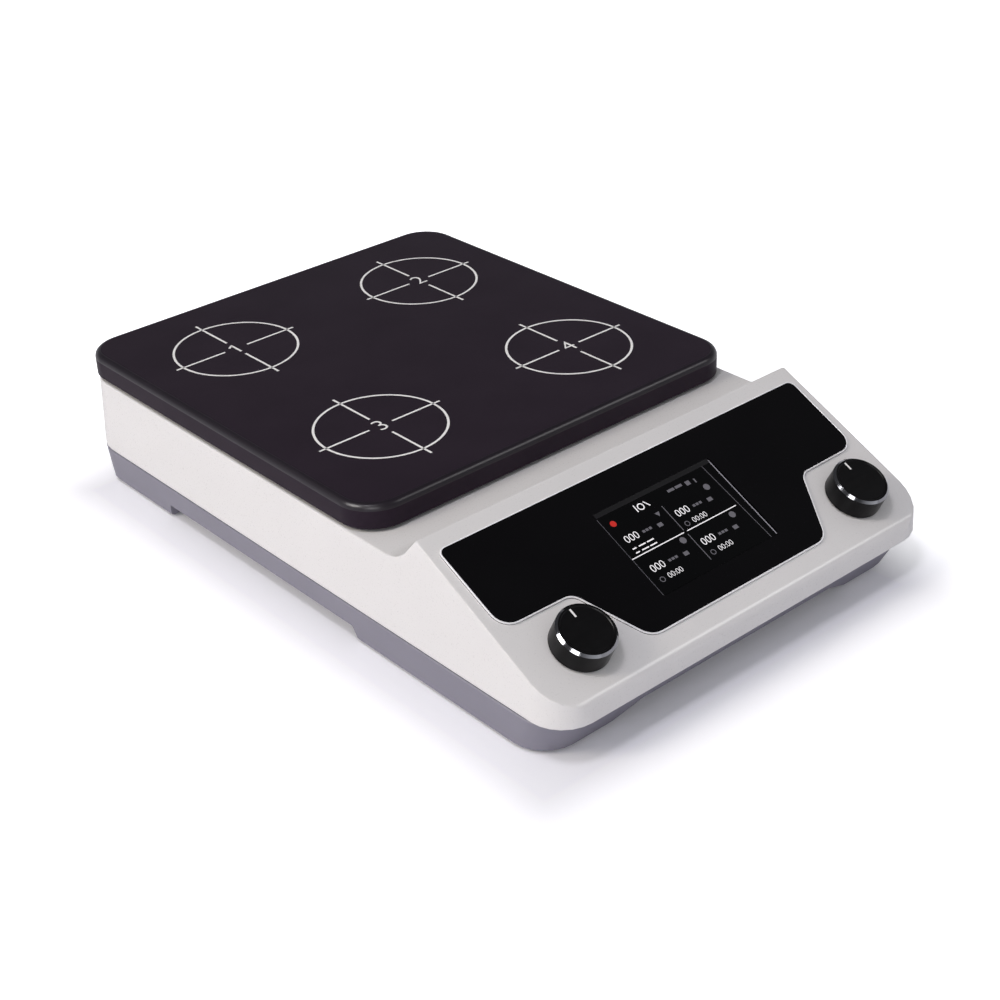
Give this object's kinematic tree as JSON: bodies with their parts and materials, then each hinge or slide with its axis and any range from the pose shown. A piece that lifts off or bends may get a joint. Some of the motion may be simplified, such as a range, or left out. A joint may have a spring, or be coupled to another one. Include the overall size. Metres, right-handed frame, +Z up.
{
  "type": "multi-position magnetic stirrer",
  "caption": "Bench magnetic stirrer with a square work plate over several stirring stations, a sloping control panel with a display and two push-turn knobs, and a legged base tray.",
  "frame": {"origin": "middle of the footprint at bench level", "axes": "+Z up, -Y towards the person at the control panel, +X to their right"},
  "size_m": [0.223, 0.3468, 0.0717],
  "materials": {
    "housing_abs": "satin warm white moulded plastic",
    "tray_abs": "fine-textured grey moulded plastic",
    "foot_rubber": "matt black rubber",
    "screw_steel": "turned steel",
    "plate_black": "matt black coated aluminium with pale printed marks",
    "overlay_gloss": "glossy black film on a moulded carrier",
    "display_window": "clear cover over a dark display",
    "circuit_board": "green solder resist",
    "black_plastic": "matt black moulded plastic",
    "plated_metal": "nickel-plated metal",
    "knob_black": "black anodised with a bright cut rim",
    "motor_steel": "zinc-plated sheet",
    "holder_aluminium": "turned, bare",
    "cable_cover": "grey cable insulation"
  },
  "bodies": {
    "base": {"upper_housing": "housing_abs", "base_tray": "tray_abs", "foot_front_left": "foot_rubber", "foot_front_right": "foot_rubber", "foot_rear_left": "foot_rubber", "foot_rear_right": "foot_rubber", "base_screw_front_left": "screw_steel", "base_screw_front_right": "screw_steel", "base_screw_rear_left": "screw_steel", "base_screw_rear_right": "screw_steel", "frame_screw_front_left": "screw_steel", "frame_screw_front_right": "screw_steel", "frame_screw_rear_left": "screw_steel", "frame_screw_rear_right": "screw_steel", "top_plate": "plate_black", "plate_frame": "plate_black", "control_overlay": "overlay_gloss", "display_lens": "display_window", "display_module": "display_window", "control_board": "circuit_board", "main_board": "circuit_board", "encoder_body_left": "black_plastic", "encoder_body_right": "black_plastic", "mains_inlet": "black_plastic", "switch_frame": "black_plastic", "encoder_nut_left": "plated_metal", "encoder_nut_right": "plated_metal", "inlet_blade_live": "plated_metal", "inlet_blade_neutral": "plated_metal", "inlet_blade_earth": "plated_metal", "stir_motor_1": "motor_steel", "stir_motor_2": "motor_steel", "stir_motor_3": "motor_steel", "stir_motor_4": "motor_steel", "drive_plate": "motor_steel", "power_supply": "motor_steel", "panel_cable": "cable_cover", "mains_lead": "cable_cover", "switch_lead": "cable_cover"},
    "rotor_1": {"magnet_holder_1": "holder_aluminium", "magnet_1_left": "plated_metal", "magnet_1_right": "plated_metal"},
    "rotor_2": {"magnet_holder_2": "holder_aluminium", "magnet_2_left": "plated_metal", "magnet_2_right": "plated_metal"},
    "rotor_3": {"magnet_holder_3": "holder_aluminium", "magnet_3_left": "plated_metal", "magnet_3_right": "plated_metal"},
    "rotor_4": {"magnet_holder_4": "holder_aluminium", "magnet_4_left": "plated_metal", "magnet_4_right": "plated_metal"},
    "plunger_left": {"encoder_plunger_left": "black_plastic"},
    "knob_left": {"encoder_shaft_left": "screw_steel", "knob_left": "knob_black"},
    "plunger_right": {"encoder_plunger_right": "black_plastic"},
    "knob_right": {"encoder_shaft_right": "screw_steel", "knob_right": "knob_black"},
    "power_rocker": {"power_rocker": "black_plastic"},
    "fuse_drawer": {"fuse_drawer": "black_plastic", "fuse": "display_window"}
  },
  "joints": [
    {"name": "rotor_1_spin", "type": "hinge", "parent": "base", "child": "rotor_1", "pos_m": [-0.057, 0.11488, 0.045], "axis": [0, 0, 1], "continuous": true},
    {"name": "rotor_2_spin", "type": "hinge", "parent": "base", "child": "rotor_2", "pos_m": [0.057, 0.11488, 0.045], "axis": [0, 0, 1], "continuous": true},
    {"name": "rotor_3_spin", "type": "hinge", "parent": "base", "child": "rotor_3", "pos_m": [-0.057, 0.00088, 0.045], "axis": [0, 0, 1], "continuous": true},
    {"name": "rotor_4_spin", "type": "hinge", "parent": "base", "child": "rotor_4", "pos_m": [0.057, 0.00088, 0.045], "axis": [0, 0, 1], "continuous": true},
    {"name": "knob_left_push", "type": "slide", "parent": "base", "child": "plunger_left", "axis": [0, 0.4405, -0.8978], "range_m": [0, 0.0005], "stiffness_N_per_m": 6000},
    {"name": "knob_left_turn", "type": "hinge", "parent": "plunger_left", "child": "knob_left", "pos_m": [-0.082, -0.15263, 0.04038], "axis": [0, -0.4405, 0.8978], "continuous": true},
    {"name": "knob_right_push", "type": "slide", "parent": "base", "child": "plunger_right", "axis": [0, 0.4405, -0.8978], "range_m": [0, 0.0005], "stiffness_N_per_m": 6000},
    {"name": "knob_right_turn", "type": "hinge", "parent": "plunger_right", "child": "knob_right", "pos_m": [0.082, -0.15263, 0.04038], "axis": [0, -0.4405, 0.8978], "continuous": true},
    {"name": "power_rocker_tilt", "type": "hinge", "parent": "base", "child": "power_rocker", "pos_m": [0.024, 0.16867, 0.03915], "axis": [1, 0, 0], "range_deg": [0, 24]},
    {"name": "fuse_drawer_slide", "type": "slide", "parent": "base", "child": "fuse_drawer", "axis": [0, 1, 0], "range_m": [0, 0.016]}
  ]
}
